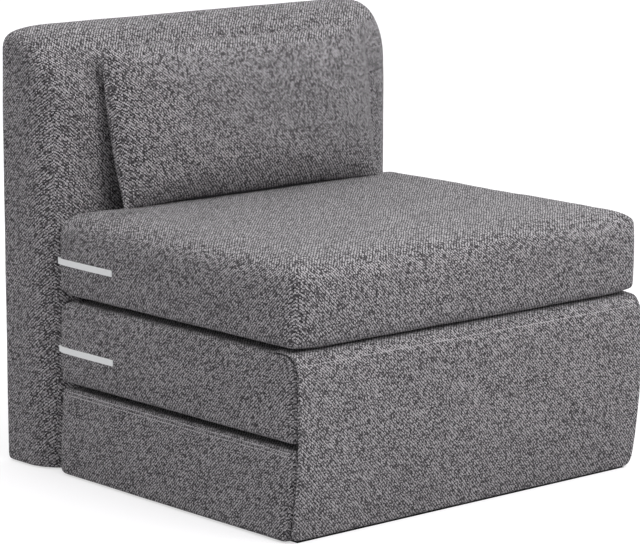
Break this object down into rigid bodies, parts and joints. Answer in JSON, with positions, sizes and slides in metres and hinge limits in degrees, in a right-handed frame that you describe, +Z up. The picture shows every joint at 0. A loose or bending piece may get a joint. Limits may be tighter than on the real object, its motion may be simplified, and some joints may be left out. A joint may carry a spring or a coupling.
{
  "type": "convertible chair bed",
  "caption": "Armless upholstered chair whose folded foam seat opens forward into a bed, with a block backrest, a hanging front flap, side straps and a loose lumbar pillow.",
  "frame": {"origin": "on the floor under the middle of the closed chair's box", "axes": "+Z up, the sitter faces -Y, +X to the right seen from the front"},
  "size_m": [0.822, 0.7904, 0.785],
  "materials": {
    "grey_fabric": "heathered woven upholstery cloth, matte",
    "foam": "cut polyurethane foam, matte",
    "timber": "planed softwood",
    "board": "plywood",
    "screw_steel": "zinc plated",
    "black_cloth": "black non-woven underside cloth",
    "black_tape": "hook and loop tape",
    "white_webbing": "flat woven webbing, matte",
    "zip_tape": "woven tape with nylon teeth",
    "zip_metal": "dark enamelled zinc"
  },
  "bodies": {
    "chair_base": {"back_cover": "grey_fabric", "back_foam": "foam", "back_left_post": "timber", "back_right_post": "timber", "back_top_rail": "timber", "back_middle_rail": "timber", "back_bottom_rail": "timber", "back_board": "board", "frame_screws": "screw_steel", "back_underside_cloth": "black_cloth", "back_zip": "zip_tape", "back_joining_tape": "black_tape", "base_cover": "grey_fabric", "base_foam": "foam", "base_underside_cloth": "black_cloth", "base_zip": "zip_tape", "base_joining_tape": "black_tape", "strap_tabs": "white_webbing", "front_flap_lower": "grey_fabric", "front_fold_cloth": "grey_fabric"},
    "middle_section": {"middle_cover": "grey_fabric", "middle_foam": "foam", "middle_zip": "zip_tape", "middle_strap_patches": "white_webbing", "front_flap_upper": "grey_fabric", "rear_fold_cloth": "grey_fabric"},
    "seat_section": {"seat_cover": "grey_fabric", "seat_foam": "foam", "seat_zip": "zip_tape", "seat_strap_patches": "white_webbing"},
    "pillow": {"pillow_cover": "grey_fabric", "pillow_filling": "foam", "pillow_zip": "zip_tape"},
    "left_upper": {"left_upper_strap": "white_webbing"},
    "left_lower": {"left_lower_strap": "white_webbing"},
    "right_upper": {"right_upper_strap": "white_webbing"},
    "right_lower": {"right_lower_strap": "white_webbing"},
    "back_slider": {"back_zip_slider": "zip_metal"},
    "base_slider": {"base_zip_slider": "zip_metal"},
    "middle_slider": {"middle_zip_slider": "zip_metal"},
    "seat_slider": {"seat_zip_slider": "zip_metal"},
    "pillow_slider": {"pillow_zip_slider": "zip_metal"}
  },
  "joints": [
    {"name": "front_fold", "type": "hinge", "parent": "chair_base", "child": "middle_section", "pos_m": [0, -0.39555, 0.159], "axis": [1, 0, 0], "range_deg": [0, 180], "deforming": ["front_fold_cloth"]},
    {"name": "rear_fold", "type": "hinge", "parent": "middle_section", "child": "seat_section", "pos_m": [0, 0.25175, 0.3168], "axis": [1, 0, 0], "range_deg": [-180, 0], "deforming": ["rear_fold_cloth"]},
    {"name": "pillow_lift", "type": "slide", "parent": "seat_section", "child": "pillow", "axis": [0, 0, 1], "range_m": [0, 0.3]},
    {"name": "left_upper_swing", "type": "hinge", "parent": "chair_base", "child": "left_upper", "pos_m": [-0.4018, 0.25175, 0.384], "axis": [0, 0, -1], "range_deg": [0, 150]},
    {"name": "left_lower_swing", "type": "hinge", "parent": "chair_base", "child": "left_lower", "pos_m": [-0.4018, 0.25175, 0.227], "axis": [0, 0, -1], "range_deg": [0, 150]},
    {"name": "right_upper_swing", "type": "hinge", "parent": "chair_base", "child": "right_upper", "pos_m": [0.4018, 0.25175, 0.384], "axis": [0, 0, 1], "range_deg": [0, 150]},
    {"name": "right_lower_swing", "type": "hinge", "parent": "chair_base", "child": "right_lower", "pos_m": [0.4018, 0.25175, 0.227], "axis": [0, 0, 1], "range_deg": [0, 150]},
    {"name": "back_zip_run", "type": "slide", "parent": "chair_base", "child": "back_slider", "axis": [1, 0, 0], "range_m": [-0.64, 0]},
    {"name": "base_zip_run", "type": "slide", "parent": "chair_base", "child": "base_slider", "axis": [1, 0, 0], "range_m": [-0.64, 0]},
    {"name": "middle_zip_run", "type": "slide", "parent": "middle_section", "child": "middle_slider", "axis": [1, 0, 0], "range_m": [-0.64, 0]},
    {"name": "seat_zip_run", "type": "slide", "parent": "seat_section", "child": "seat_slider", "axis": [1, 0, 0], "range_m": [-0.64, 0]},
    {"name": "pillow_zip_run", "type": "slide", "parent": "pillow", "child": "pillow_slider", "axis": [1, 0, 0], "range_m": [-0.28, 0]}
  ],
  "couplings": [
    {"joint": "rear_fold", "follows": "front_fold", "ratio": -1}
  ]
}
